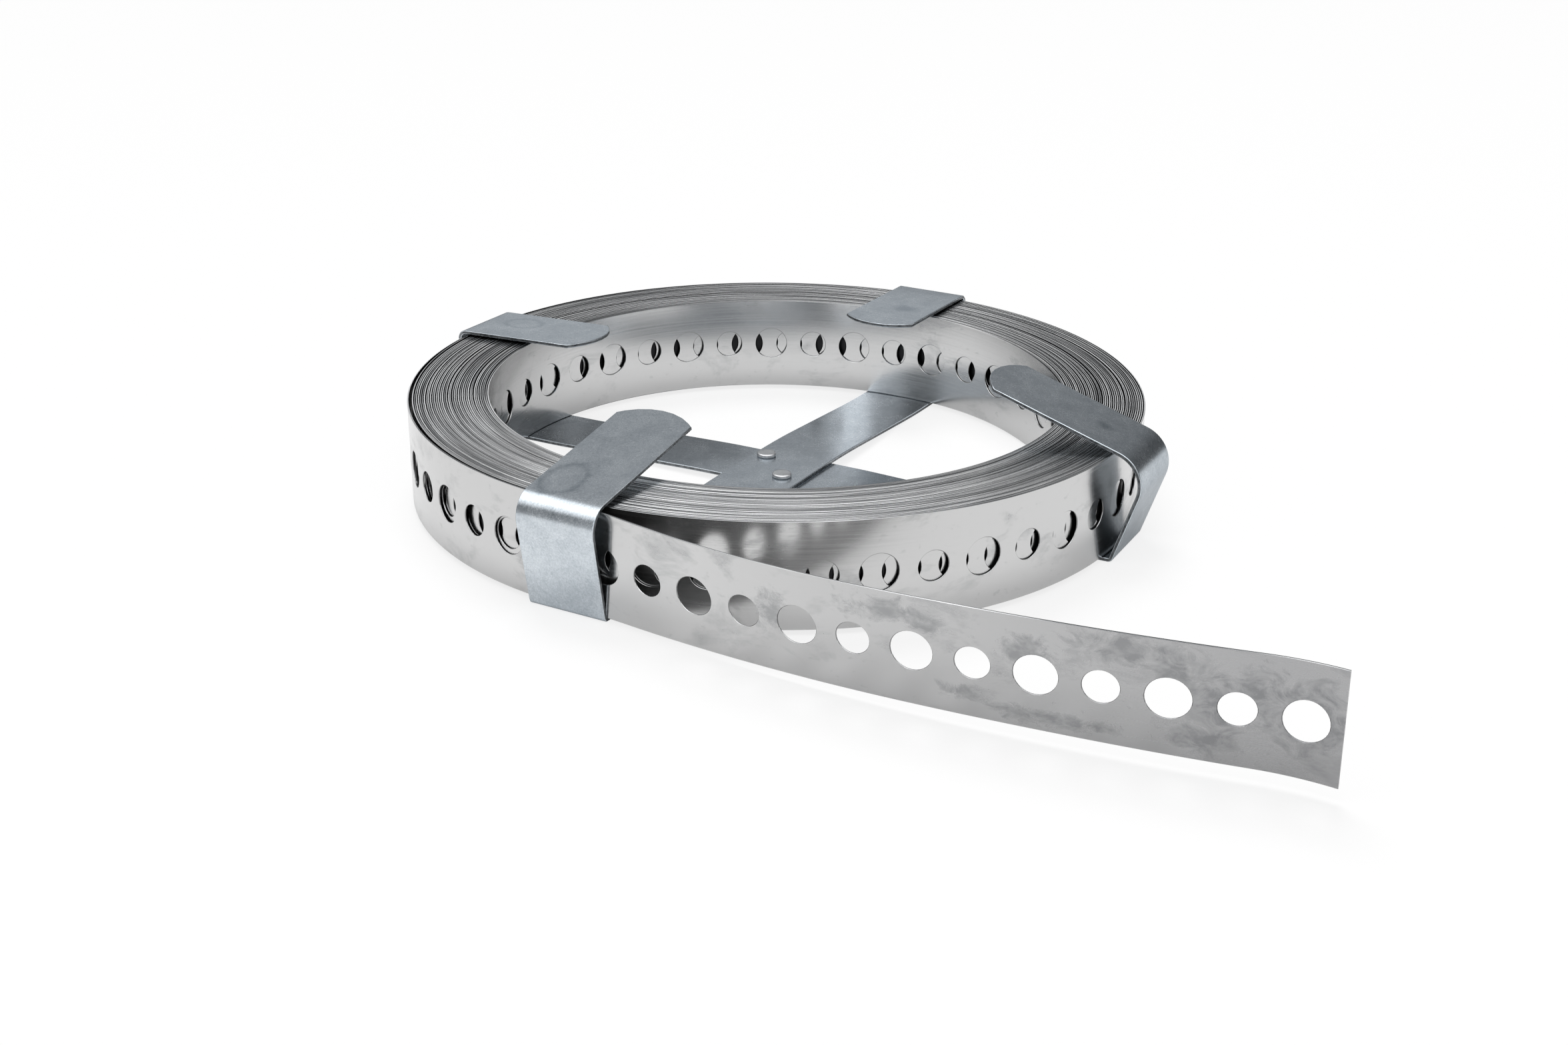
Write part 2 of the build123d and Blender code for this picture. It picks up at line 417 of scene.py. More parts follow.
class BarPath:
    """A bar's middle line in its own upright plane, from tongue tip to tongue tip."""

    def __init__(self, azimuth, shift, corners, radii):
        self.azimuth = radians(azimuth)
        self.shift = shift
        points = [np.array(corners[0], float)]
        for before, corner, after, bend in zip(corners, corners[1:], corners[2:], radii):
            before, corner, after = (np.array(p, float) for p in (before, corner, after))
            into = (corner - before) / np.linalg.norm(corner - before)
            away = (after - corner) / np.linalg.norm(after - corner)
            cross = into[0] * away[1] - into[1] * away[0]
            angle = atan2(cross, float(into @ away))
            reach = bend * tan(abs(angle) / 2)
            start = corner - into * reach
            normal = np.array([-into[1], into[0]]) * (1 if angle > 0 else -1)
            centre = start + normal * bend
            count = max(least_bend_steps, ceil(degrees(abs(angle)) / bend_step))
            spoke = start - centre
            for part in [angle * i / count for i in range(count + 1)]:
                x = spoke[0] * cos(part) - spoke[1] * sin(part)
                z = spoke[0] * sin(part) + spoke[1] * cos(part)
                points.append(centre + np.array([x, z]))
        points.append(np.array(corners[-1], float))
        self.points = np.array(points)
        runs = np.diff(self.points, axis=0)
        self.s = np.concatenate([[0], np.cumsum(np.linalg.norm(runs, axis=1))])
        self.length = self.s[-1]
        self.run_middle = (self.s[1:] + self.s[:-1]) / 2
        self.run_slope = np.degrees(np.unwrap(np.arctan2(runs[:, 1], runs[:, 0])))

    def frame_at(self, s):
        """Middle point, and the directions along, to the left and outwards, at every s."""
        x = np.interp(s, self.s, self.points[:, 0])
        z = np.interp(s, self.s, self.points[:, 1])
        turned = np.radians(np.interp(s, self.run_middle, self.run_slope))
        ahead = np.array([cos(self.azimuth), sin(self.azimuth), 0])
        left = np.array([-sin(self.azimuth), cos(self.azimuth), 0])
        upright = np.array([0.0, 0.0, 1.0])
        place = x[:, None] * ahead + self.shift * left + z[:, None] * upright
        along = np.cos(turned)[:, None] * ahead + np.sin(turned)[:, None] * upright
        out = np.cos(turned)[:, None] * upright - np.sin(turned)[:, None] * ahead
        return place, along, np.broadcast_to(left, place.shape), out


class Skin:
    """A sheet's mesh: points as (s, across, outwards), and a normal for each corner
    of each face, in the sheet's own directions along, across and outwards."""

    def __init__(self):
        self.points = []
        self.faces = []
        self.normals = []
        self.materials = []
        self.material = 0

    def point(self, s, across, outwards):
        """Adds a point and returns its number."""
        self.points.append((s, across, outwards))
        return len(self.points) - 1

    def face(self, corners, normals):
        """Adds a face in the present material, with a normal for each corner."""
        self.faces.append(corners)
        self.normals.extend(normals)
        self.materials.append(self.material)

    def flat_face(self, corners, normal):
        """Adds a face with the same normal at each corner."""
        self.face(corners, [normal] * len(corners))

    def make(self, name, path):
        """The mesh object, with its strip coordinates in millimetres as a UV map."""
        table = np.array(self.points)
        place, along, across, out = path.frame_at(table[:, 0])
        places = place + across * table[:, 1:2] + out * table[:, 2:3]
        mesh = bpy.data.meshes.new(name)
        mesh.from_pydata((places * MM).tolist(), [], self.faces)
        corner_points = np.array([i for face in self.faces for i in face])
        local = np.array(self.normals, float)
        normals = (
            along[corner_points] * local[:, 0:1]
            + across[corner_points] * local[:, 1:2]
            + out[corner_points] * local[:, 2:3]
        )
        normals /= np.linalg.norm(normals, axis=1)[:, None]
        uv = mesh.uv_layers.new(name="strip")
        strip = np.stack([path.length - table[corner_points, 0], table[corner_points, 1]], 1)
        uv.data.foreach_set("uv", strip.astype(np.float32).ravel())
        mesh.polygons.foreach_set("material_index", self.materials)
        mesh.shade_smooth()
        mesh.normals_split_custom_set(normals.tolist())
        mesh.update()
        return linked(name, mesh)


along_way, across_way, out_way = (1, 0, 0), (0, 1, 0), (0, 0, 1)


def opposite(direction):
    """The direction turned round."""
    return tuple(-value for value in direction)


class StrapSkin(Skin):
    """The strap's mesh, made cell by cell between columns of points."""

    half = strip_thickness / 2
    low = edge_round
    high = strap_width - edge_round
    outside = 0
    inside = 0

    def shade_between(self, first, last, low, high, free):
        """Which material the two faces of a cell have: bright (0), dark painted shade deep in the winding
        (1), or the strip in painted shade (2).
        """
        middle = (first["s"] + last["s"]) / 2
        self.outside = 1 if middle < high else 0
        self.inside = 0 if middle < low else (1 if middle < free else 2)

    def edge_points(self, s):
        """Points over the two cut edges at s: upper edge, then lower edge."""
        half, rolled, sharp = self.half, self.half - edge_round, burr_round - self.half
        upper = [
            self.point(s, self.high, half),
            self.point(s, strap_width, rolled),
            self.point(s, strap_width, sharp),
            self.point(s, strap_width - burr_round, -half),
        ]
        lower = [
            self.point(s, self.low, half),
            self.point(s, 0, rolled),
            self.point(s, 0, sharp),
            self.point(s, burr_round, -half),
        ]
        return {"s": s, "upper": upper, "lower": lower, "outer": [], "inner": []}

    def column(self, s, perforated):
        """A whole column of points at s, with rows between the edges if perforated."""
        made = self.edge_points(s)
        rows = range(1, column_rows) if perforated else ()
        step = (self.high - self.low) / column_rows
        outer = [self.point(s, self.low + row * step, self.half) for row in rows]
        inner = [self.point(s, self.low + row * step, -self.half) for row in rows]
        made["outer"] = [made["lower"][0], *outer, made["upper"][0]]
        made["inner"] = [made["lower"][3], *inner, made["upper"][3]]
        return made

    def edge_faces(self, left, right):
        """The rounded cut edges between two columns."""
        ways = (out_way, across_way, across_way, opposite(out_way))
        down = (out_way, opposite(across_way), opposite(across_way), opposite(out_way))
        for i in range(3):
            a, b = ways[i], ways[i + 1]
            corners = [left["upper"][i], right["upper"][i], right["upper"][i + 1], left["upper"][i + 1]]
            self.face(corners, [a, a, b, b])
            a, b = down[i], down[i + 1]
            corners = [left["lower"][i], left["lower"][i + 1], right["lower"][i + 1], right["lower"][i]]
            self.face(corners, [a, b, b, a])

    def plain_cell(self, left, right):
        """A cell without a hole, in a dark painted shade on both faces."""
        self.material = 1
        self.flat_face([*left["outer"][::-1], *right["outer"]], out_way)
        self.flat_face([*right["inner"][::-1], *left["inner"]], opposite(out_way))
        self.material = 0
        self.edge_faces(left, right)

    def perforated_cell(self, left, right, s_middle, radius):
        """A cell of the strap round one hole."""
        steps = [left["s"] + (right["s"] - left["s"]) * i / cell_columns for i in range(1, cell_columns)]
        between = [self.edge_points(s) for s in steps]
        columns = [left, *between, right]
        for a, b in zip(columns, columns[1:]):
            self.edge_faces(a, b)
        middle = strap_width / 2
        inset = self.half - rim_round
        for side, row, edge in ((1, "outer", 0), (-1, "inner", 3)):
            loop = [
                *right[row][:-1],
                right["upper"][edge],
                *[c["upper"][edge] for c in reversed(between)],
                *left[row][:0:-1],
                left["lower"][edge],
                *[c["lower"][edge] for c in between],
            ]
            count = len(loop)
            first = -pi * column_rows / count
            turned = [first + 2 * pi * i / count for i in range(count)]
            spokes = [(cos(a), sin(a), 0) for a in turned]
            rim, wall = [
                [self.point(s_middle + r * x, middle + r * y, side * out) for x, y, _ in spokes]
                for r, out in ((radius + rim_round, self.half), (radius, inset))
            ]
            face_way = out_way if side > 0 else opposite(out_way)
            for i in range(count):
                j = (i + 1) % count
                quad = [loop[i], loop[j], rim[j], rim[i]]
                self.material = self.outside if side > 0 else self.inside
                self.flat_face(quad if side > 0 else quad[::-1], face_way)
                self.material = 0
                quad = [rim[i], rim[j], wall[j], wall[i]]
                ways = [face_way, face_way, opposite(spokes[j]), opposite(spokes[i])]
                # The rim above its bright lower part takes the strip in painted shade
                self.material = 2 if spokes[i][1] > rim_bright_below else 0
                if side > 0:
                    self.face(quad, ways)
                    continue
                self.face(quad[::-1], ways[::-1])
                # The wall through the hole takes the strip in painted shade
                quad = [outer_wall[i], outer_wall[j], wall[j], wall[i]]
                inwards_i, inwards_j = opposite(spokes[i]), opposite(spokes[j])
                self.material = 2
                self.face(quad, [inwards_i, inwards_j, inwards_j, inwards_i])
                self.material = 0
            outer_wall = wall

    def end_face(self, column, ahead):
        """The cut across the strap at one end."""
        ring = [
            *column["outer"],
            column["upper"][1],
            column["upper"][2],
            *column["inner"][::-1],
            column["lower"][2],
            column["lower"][1],
        ]
        way = along_way if ahead else opposite(along_way)
        self.flat_face(ring[::-1] if ahead else ring, way)


def outer_hole_angle(number):
    """Where the coil has come to at a hole, counted inwards from the clip."""
    at = [anchor[0] for anchor in outer_hole_anchors]
    turned = [anchor[1] for anchor in outer_hole_anchors]
    if number <= at[-1]:
        back = float(np.interp(number, at, turned))
    else:
        back = turned[-1] + (number - at[-1]) * (turned[-1] - turned[-2])
    return 360.0 * turns + first_outer_hole - back


def strap_holes(path):
    """Places along the strap and diameters of all modelled holes, from the inner end."""
    inner_count = int(perforated_turns * 360 / inner_hole_step)
    inner = [
        (path.at_angle(first_inner_hole + i * inner_hole_step), small_hole if i % 2 else big_hole)
        for i in range(inner_count)
    ]
    outer = [
        (path.length - cut_to_hole - i * hole_pitch, small_hole if i % 2 else big_hole)
        for i in range(tail_holes)
    ]
    under_clip = (outer[-1][0] + path.at_angle(outer_hole_angle(0))) / 2
    outer.append((under_clip, small_hole))
    number = 0
    while outer_hole_angle(number) > coil_end - 360 * perforated_turns:
        size = small_hole if number % 2 else big_hole
        outer.append((path.at_angle(outer_hole_angle(number)), size))
        number += 1
    return inner, outer[::-1]


def make_strap():
    """The whole strap: perforated turns inside and outside, and plain ones between."""
    path = StrapPath()
    skin = StrapSkin()
    inner, outer = strap_holes(path)
    light_inside = path.at_angle(inner_cut + 360 * light_turns)
    light_outside = path.at_angle(coil_end - 360 * light_turns)
    free = path.at_angle(coil_end)

    def perforated_run(holes, first_s, last_s):
        """Cells round the holes, from first_s to last_s."""
        middles = [(a[0] + b[0]) / 2 for a, b in zip(holes, holes[1:])]
        bounds = [first_s, *middles, last_s]
        columns = [skin.column(s, True) for s in bounds]
        for (s, size), left, right in zip(holes, columns, columns[1:]):
            skin.shade_between(left, right, light_inside, light_outside, free)
            skin.perforated_cell(left, right, s, size / 2)
        return columns[0], columns[-1]

    reach = hole_pitch / 2
    first, inner_last = perforated_run(inner, 0.0, inner[-1][0] + reach)
    outer_first, last = perforated_run(outer, outer[0][0] - reach, path.length)
    low = np.interp(inner_last["s"], path.s[: len(path.coil_angle)], path.coil_angle)
    high = np.interp(outer_first["s"], path.s[: len(path.coil_angle)], path.coil_angle)
    first_step = ceil(low / hidden_step + hidden_margin)
    last_step = int(high / hidden_step - hidden_margin)
    angles = np.arange(first_step, last_step + 1) * hidden_step
    plain = [skin.column(path.at_angle(angle), False) for angle in angles]
    columns = [inner_last, *plain, outer_first]
    for left, right in zip(columns, columns[1:]):
        skin.plain_cell(left, right)
    skin.end_face(first, False)
    skin.end_face(last, True)
    return skin.make("wound_strap", path)


def clip_corners(side, lean, bend, tongue_length):
    """Corners of a bar's middle line at one end, from its foot to the tongue."""
    half = bar_thickness / 2
    heel_x = coil_radius + clip_clearance + half
    along_x, along_z = sin(radians(lean)), cos(radians(lean))
    coil_top = coil_base + strap_width
    height = (coil_radius - heel_x) * along_x + (coil_top - half) * along_z + tongue_clearance + half
    top_x = heel_x + height * along_x
    top_z = half + height * along_z
    run = tongue_length + bend + tip_bulge
    corners = (
        (foot_radius, half),
        (heel_x, half),
        (top_x, top_z),
        (top_x - run * along_z, top_z + run * along_x),
    )
    return [(side * x, z) for x, z in corners]


def make_bar(name, azimuth, shift, base, far_end, near_end, near_skew):
    """A bar with rounded edges, and the length of its middle line."""
    middle = base + bar_thickness / 2
    land = [(-crossing_land / 2, middle), (crossing_land / 2, middle)]
    corners = [*reversed(clip_corners(-1, *near_end)), *land, *clip_corners(1, *far_end)]
    radii = [near_end[1], lower_bend, *[bow_radius] * 4, lower_bend, far_end[1]]
    path = BarPath(azimuth, shift, corners, radii)
    skin = Skin()
    half, wide = bar_thickness / 2, bar_width / 2
    tip_radius = (wide**2 + tip_bulge**2) / (2 * tip_bulge)
    rows = np.array(bar_rows) * (wide - bar_round)
    tongue_end = near_end[2] + near_end[1] + tip_bulge
    turn_aside = tan(radians(near_skew))

    def askew(s):
        """How far the near tongue's middle has moved aside at s."""
        return turn_aside * max(0.0, tongue_end - s)

    def tip_s(across):
        """How far the rounded tip stands back from the tongue's full length."""
        return tip_radius - sqrt(tip_radius**2 - min(abs(across), wide) ** 2)

    stations = [*tongue_lines, *path.s[1:-1], *[path.length - s for s in reversed(tongue_lines)]]
    first = tip_bulge + tip_room
    stations = sorted(s for s in stations if first < s < path.length - first)
    lines = [[tip_s(y) + bar_round for y in rows]]
    lines += [[s] * len(rows) for s in stations]
    lines += [[path.length - tip_s(y) - bar_round for y in rows]]
    grids = []
    for side in (1, -1):
        grids.append(
            [[skin.point(s, y + askew(s), side * half) for s, y in zip(line, rows)] for line in lines]
        )
    for grid, way in zip(grids, (out_way, opposite(out_way))):
        for a, b in zip(grid, grid[1:]):
            for i in range(len(rows) - 1):
                quad = [a[i], b[i], b[i + 1], a[i + 1]]
                skin.flat_face(quad if way == out_way else quad[::-1], way)
    last_row, last_line = len(rows) - 1, len(lines) - 1
    border = [(line, 0) for line in range(len(lines))]
    border += [(last_line, row) for row in range(1, len(rows))]
    border += [(line, last_row) for line in reversed(range(last_line))]
    border += [(0, row) for row in reversed(range(1, last_row))]
    rim = []
    for line, row in border:
        s, y = lines[line][row], rows[row]
        side_y = -1 if row == 0 else (1 if row == last_row else 0)
        end_s = -1 if line == 0 else (1 if line == last_line else 0)
        way = np.array([end_s * 1.0, side_y * 1.0 + (end_s != 0) * y / tip_radius, 0])
        way /= np.linalg.norm(way)
        reach_s = s + end_s * bar_round
        reach_y = y + side_y * bar_round + askew(s)
        inset = half - bar_round
        upper = skin.point(reach_s, reach_y, inset)
        lower = skin.point(reach_s, reach_y, -inset)
        rim.append((upper, lower, tuple(way)))
    for i, (line, row) in enumerate(border):
        next_line, next_row = border[(i + 1) % len(border)]
        a, b = rim[i], rim[(i + 1) % len(border)]
        top_a, top_b = grids[0][line][row], grids[0][next_line][next_row]
        low_a, low_b = grids[1][line][row], grids[1][next_line][next_row]
        skin.face([top_a, a[0], b[0], top_b], [out_way, a[2], b[2], out_way])
        # Sheared side faces, darkened as a painted shadow line
        skin.material = 1
        skin.face([a[0], a[1], b[1], b[0]], [a[2], a[2], b[2], b[2]])
        skin.material = 0
        skin.face([a[1], low_a, low_b, b[1]], [a[2], opposite(out_way), opposite(out_way), b[2]])
    return skin.make(name, path), path.length


def make_rivet(name, place):
    """A lathe-turned rivet: two low domed heads on a shank."""
    bar_top = upper_bar_base + bar_thickness
    upper = [(rivet_head_radius * r, bar_top + rivet_head_height * h) for r, h in rivet_dome]
    lower = [(r, lower_bar_base - (z - bar_top)) for r, z in upper]
    shank = [(rivet_shank_radius, lower_bar_base), (rivet_shank_radius, bar_top)]
    profile = [*reversed(lower), *shank, *upper]
    count = rivet_sides
    points = []
    for r, z in profile[1:-1]:
        for i in range(count):
            a = 2 * pi * i / count
            points.append(((place[0] + r * cos(a)) * MM, (place[1] + r * sin(a)) * MM, z * MM))
    rings = len(profile) - 2
    faces = []
    for ring in range(rings - 1):
        low, high = ring * count, (ring + 1) * count
        for i in range(count):
            j = (i + 1) % count
            faces.append((low + i, low + j, high + j, high + i))
    bottom, top = len(points), len(points) + 1
    points.append((place[0] * MM, place[1] * MM, profile[0][1] * MM))
    points.append((place[0] * MM, place[1] * MM, profile[-1][1] * MM))
    for i in range(count):
        j = (i + 1) % count
        faces.append((bottom, j, i))
        faces.append((top, (rings - 1) * count + i, (rings - 1) * count + j))
    mesh = bpy.data.meshes.new(name)
    mesh.from_pydata(points, [], faces)
    mesh.shade_smooth()
    mesh.set_sharp_from_angle(angle=radians(rivet_sharp_angle))
    return linked(name, mesh)


def add_node(tree, kind, inputs=(), **settings):
    """A new shader node with its settings, and its inputs as values or links."""
    node = tree.nodes.new(kind)
    for name, value in settings.items():
        setattr(node, name, value)
    for name, value in dict(inputs).items():
        if isinstance(value, bpy.types.NodeSocket):
            tree.links.new(value, node.inputs[name])
        else:
            node.inputs[name].default_value = value
    return node


def new_material(name):
    """A new material, its node tree and its shader."""
    material = bpy.data.materials.new(name)
    material.use_nodes = True
    return material, material.node_tree, material.node_tree.nodes["Principled BSDF"]


def new_metal(name):
    """A new material of bare metal, its node tree and its shader."""
    material, tree, shader = new_material(name)
    shader.inputs["Metallic"].default_value = 1.0
    return material, tree, shader


def ranged(tree, value, low, high, to_low, to_high):
    """A value brought from one range into another."""
    ends = {"From Min": low, "From Max": high, "To Min": to_low, "To Max": to_high}
    return add_node(tree, "ShaderNodeMapRange", {"Value": value, **ends}).outputs["Result"]


def calc(tree, operation, a, b=0.0):
    """The result of a calculation on two values or links."""
    node = add_node(tree, "ShaderNodeMath", operation=operation)
    for socket, value in zip(node.inputs, (a, b)):
        if isinstance(value, bpy.types.NodeSocket):
            tree.links.new(value, socket)
        else:
            socket.default_value = value
    return node.outputs["Value"]


def noise(tree, vector, scale, detail=3.0, roughness=0.55, distortion=0.0):
    """Smooth noise at a place."""
    look = {"Detail": detail, "Roughness": roughness, "Distortion": distortion}
    node = add_node(tree, "ShaderNodeTexNoise", {"Vector": vector, "Scale": scale, **look})
    return node.outputs["Fac"]


def stretched(tree, vector, scale, shift=(0, 0, 0)):
    """A place scaled, then shifted."""
    change = {"Scale": scale, "Location": shift}
    return add_node(tree, "ShaderNodeMapping", {"Vector": vector, **change}).outputs["Vector"]


def far_from(tree, vector, place, reach):
    """How far a place on the strip is from another, in its reach along and across."""
    scale = (1 / reach[0], 1 / reach[1], 1)
    moved = stretched(tree, vector, scale, (-place[0] / reach[0], -place[1] / reach[1], 0))
    return add_node(tree, "ShaderNodeVectorMath", {0: moved}, operation="LENGTH").outputs["Value"]


def mixed(tree, factor, first, second, blend="MIX"):
    """Two colours mixed by a factor, each given as three numbers or as a link."""
    node = add_node(tree, "ShaderNodeMix", data_type="RGBA", blend_type=blend)
    tree.links.new(factor, node.inputs["Factor"])
    sockets = [socket for socket in node.inputs if socket.type == "RGBA"]
    for socket, colour in zip(sockets, (first, second)):
        if isinstance(colour, bpy.types.NodeSocket):
            tree.links.new(colour, socket)
        else:
            socket.default_value = (*colour, 1)
    return [socket for socket in node.outputs if socket.type == "RGBA"][0]


def blot(tree, strip, ragged, place, reach):
    """A ragged stain on the strip round a place, 1 in its middle and 0 outside."""
    far = calc(tree, "ADD", far_from(tree, strip, place, reach), ragged)
    return ranged(tree, far, *stain_fade, 0.0, 1.0)


def strap_material(name, shade_factor):
    """Rolled strip: fine lines along it, smudges and stains, and a painted shade towards its cut. Its
    face tints can be scaled down for a copy in painted shade.
    """
    material, tree, shader = new_metal(name)
    strip = add_node(tree, "ShaderNodeUVMap", uv_map="strip").outputs["UV"]
    # Each noise is stretched by its own scales per millimetre, along the strip and across
    lines = noise(tree, stretched(tree, strip, (0.02, 2.2, 1)), 1.0, 4.0, 0.6)
    fine = noise(tree, stretched(tree, strip, (0.05, 9.0, 1), (3, 1, 0)), 1.0, 2.0)
    patches = noise(tree, stretched(tree, strip, (0.06, 0.1, 1), (7, 2, 0)), 1.0, 5.0, 0.66, 0.4)
    specks = noise(tree, stretched(tree, strip, (0.35, 0.45, 1), (1, 5, 0)), 1.0, 4.0, 0.6)
    smudge = calc(
        tree,
        "ADD",
        ranged(tree, patches, 0.54, 0.72, 0.0, 0.7),
        ranged(tree, specks, 0.62, 0.72, 0.0, 0.35),
    )
    torn = noise(tree, stretched(tree, strip, (0.16, 0.22, 1), (4, 9, 0)), 1.0, 7.0, 0.72, 0.8)
    ragged = calc(tree, "MULTIPLY", calc(tree, "SUBTRACT", torn, 0.46), 4.5)
    worn = ranged(tree, specks, 0.35, 0.65, 0.55 * stain_strength, 1.25 * stain_strength)
    for place, reach in strap_stains:
        stain = calc(tree, "MULTIPLY", blot(tree, strip, ragged, place, reach), worn)
        smudge = calc(tree, "MAXIMUM", smudge, stain)
    parts = add_node(tree, "ShaderNodeSeparateXYZ", {"Vector": strip})
    along, across = parts.outputs["X"], parts.outputs["Y"]
    # Painted shade: the strip is darkened towards its cut, and made rougher there
    near_cut = ranged(tree, along, *near_cut_reach, 1.0, 0.0)
    from_middle = calc(tree, "ABSOLUTE", calc(tree, "SUBTRACT", across, strap_width / 2))
    half = strap_width / 2
    edge = ranged(tree, from_middle, half - edge_round, half - edge_round / 2, 0.0, 1.0)
    streak = noise(tree, stretched(tree, strip, (0.012, 0.01, 1), (5, 3, 0)), 1.0, 3.0, 0.6)
    streak = ranged(tree, streak, 0.38, 0.62, 0.0, 1.0)
    clean, smudged = [[value * shade_factor for value in tint] for tint in (strip_clean, strip_smudged)]
    face = mixed(tree, smudge, clean, smudged)
    face = mixed(tree, calc(tree, "MULTIPLY", near_cut, end_shade_strength), face, strip_end_shade, "MULTIPLY")
    colour = mixed(tree, edge, face, mixed(tree, streak, strip_edge_dark, strip_edge_light))
    tree.links.new(colour, shader.inputs["Base Color"])
    rough = ranged(tree, lines, 0.3, 0.7, *strip_roughness)
    rough = calc(tree, "ADD", rough, calc(tree, "MULTIPLY", smudge, smudge_roughness))
    rough = calc(tree, "ADD", rough, calc(tree, "MULTIPLY", near_cut, near_cut_roughness))
    tree.links.new(rough, shader.inputs["Roughness"])
    height = calc(tree, "ADD", lines, calc(tree, "MULTIPLY", fine, 0.4))
    bump = add_node(tree, "ShaderNodeBump", {"Height": height, "Distance": 0.00001, "Strength": 0.25})
    tree.links.new(bump.outputs["Normal"], shader.inputs["Normal"])
    return material


def deep_shade_material():
    """The strip's faces deep in the winding, dark as painted shade."""
    material, tree, shader = new_metal("deep_shade_strip")
    strip = add_node(tree, "ShaderNodeUVMap", uv_map="strip").outputs["UV"]
    patches = noise(tree, stretched(tree, strip, (0.05, 0.15, 1)), 1.0, 4.0)
    tree.links.new(mixed(tree, patches, deep_shade_dark, deep_shade_light), shader.inputs["Base Color"])
    tree.links.new(ranged(tree, patches, 0.3, 0.7, *deep_shade_roughness), shader.inputs["Roughness"])
    return material


def zinc_material(name, seed, dark, light, rough, dent_shades):
    """Zinc-plated strip: a fine dull spangle, faint stains, and the dents of the bending tool as painted
    shade.
    """
    material, tree, shader = new_metal(name)
    shader.inputs["Specular Tint"].default_value = (*zinc_edge_tint, 1)
    place = add_node(tree, "ShaderNodeTexCoord").outputs["Object"]
    moved = stretched(tree, place, [1 / MM] * 3, (seed * 13.7, seed * 5.1, 0))
    grain = noise(tree, moved, 2.4, 3.0, 0.7)
    spangle = add_node(tree, "ShaderNodeTexVoronoi", {"Vector": moved, "Scale": 1.6}).outputs["Color"]
    cell = add_node(tree, "ShaderNodeSeparateColor", {"Color": spangle}).outputs["Red"]
    clouds = noise(tree, moved, 0.13, 5.0, 0.65, 0.6)
    mottle = calc(tree, "ADD", calc(tree, "MULTIPLY", grain, 0.7), calc(tree, "MULTIPLY", cell, 0.08))
    shade = calc(tree, "ADD", mottle, calc(tree, "MULTIPLY", clouds, 0.6))
    if dent_shades:
        strip = add_node(tree, "ShaderNodeUVMap", uv_map="strip").outputs["UV"]
        uneven = calc(tree, "MULTIPLY", calc(tree, "SUBTRACT", clouds, 0.5), 0.4)
    # Dents of the bending tool, as painted shade that also lowers roughness and moves the bump
    for dent_place, reach, kind in dent_shades:
        far = calc(tree, "ADD", far_from(tree, strip, dent_place, reach), uneven)
        if kind == "ring":
            far = calc(tree, "ABSOLUTE", calc(tree, "SUBTRACT", far, 1.0))
            pressed = ranged(tree, far, 0.0, ring_width, ring_strength, 0.0)
        else:
            pressed = ranged(tree, far, *hollow_reach, hollow_strength, 0.0)
        shade = calc(tree, "SUBTRACT", shade, pressed)
    colour = mixed(tree, ranged(tree, shade, 0.36, 1.02, 0, 1), dark, light)
    tree.links.new(colour, shader.inputs["Base Color"])
    tree.links.new(ranged(tree, shade, 0.3, 1.1, *rough), shader.inputs["Roughness"])
    bump = add_node(tree, "ShaderNodeBump", {"Height": shade, "Distance": 0.000012, "Strength": 0.12})
    tree.links.new(bump.outputs["Normal"], shader.inputs["Normal"])
    return material


def sheared_material():
    """The bars' sheared edges: thin grey zinc, darkened further as a painted shadow line along the bars.
    """
    material, tree, shader = new_metal("cut_edge_shade")
    place = add_node(tree, "ShaderNodeTexCoord").outputs["Object"]
    patches = noise(tree, stretched(tree, place, [1 / MM] * 3), 0.8, 3.0)
    share = ranged(tree, patches, 0.35, 0.7, 0, 1)
    tree.links.new(mixed(tree, share, sheared_dark, sheared_light), shader.inputs["Base Color"])
    shader.inputs["Roughness"].default_value = sheared_roughness
    return material


def place_camera():
    """The camera stands where the photograph was taken from."""
    elevation = radians(camera_elevation)
    stand = np.array([0, -camera_distance * cos(elevation), camera_distance * sin(elevation)])
    straight = -stand / np.linalg.norm(stand)
    right = np.array([1.0, 0, 0])
    up = np.cross(right, straight)
    ahead = straight + tan(radians(camera_aim_right)) * right + tan(radians(camera_aim_up)) * up
    ahead /= np.linalg.norm(ahead)
    right = np.cross(ahead, (0, 0, 1))
    right /= np.linalg.norm(right)
    up = np.cross(right, ahead)
    roll = radians(camera_roll)
    turned_right = right * cos(roll) - up * sin(roll)
    turned_up = right * sin(roll) + up * cos(roll)
    data = bpy.data.cameras.new("camera")
    data.lens = camera_lens
    data.sensor_width = camera_sensor
    data.clip_start = camera_near
    camera = linked("camera", data)
    columns = (turned_right, turned_up, -ahead, (stand + (0, 0, coil_base)) * MM)
    matrix = Matrix.Identity(4)
    for i, column in enumerate(columns):
        for row in range(3):
            matrix[row][i] = float(column[row])
    camera.matrix_world = matrix
    bpy.context.scene.camera = camera


def stage_plane(name, size, place, facing, material):
    """A flat panel of the studio, facing a point."""
    mesh = bpy.data.meshes.new(name)
    x, y = size[0] / 2, size[1] / 2
    mesh.from_pydata([(-x, -y, 0), (x, -y, 0), (x, y, 0), (-x, y, 0)], [], [(0, 1, 2, 3)])
    mesh.materials.append(material)
    panel = linked(name, mesh)
    panel.location = place
    panel.rotation_euler = (Vector(facing) - Vector(place)).to_track_quat("Z", "Y").to_euler()
    return panel


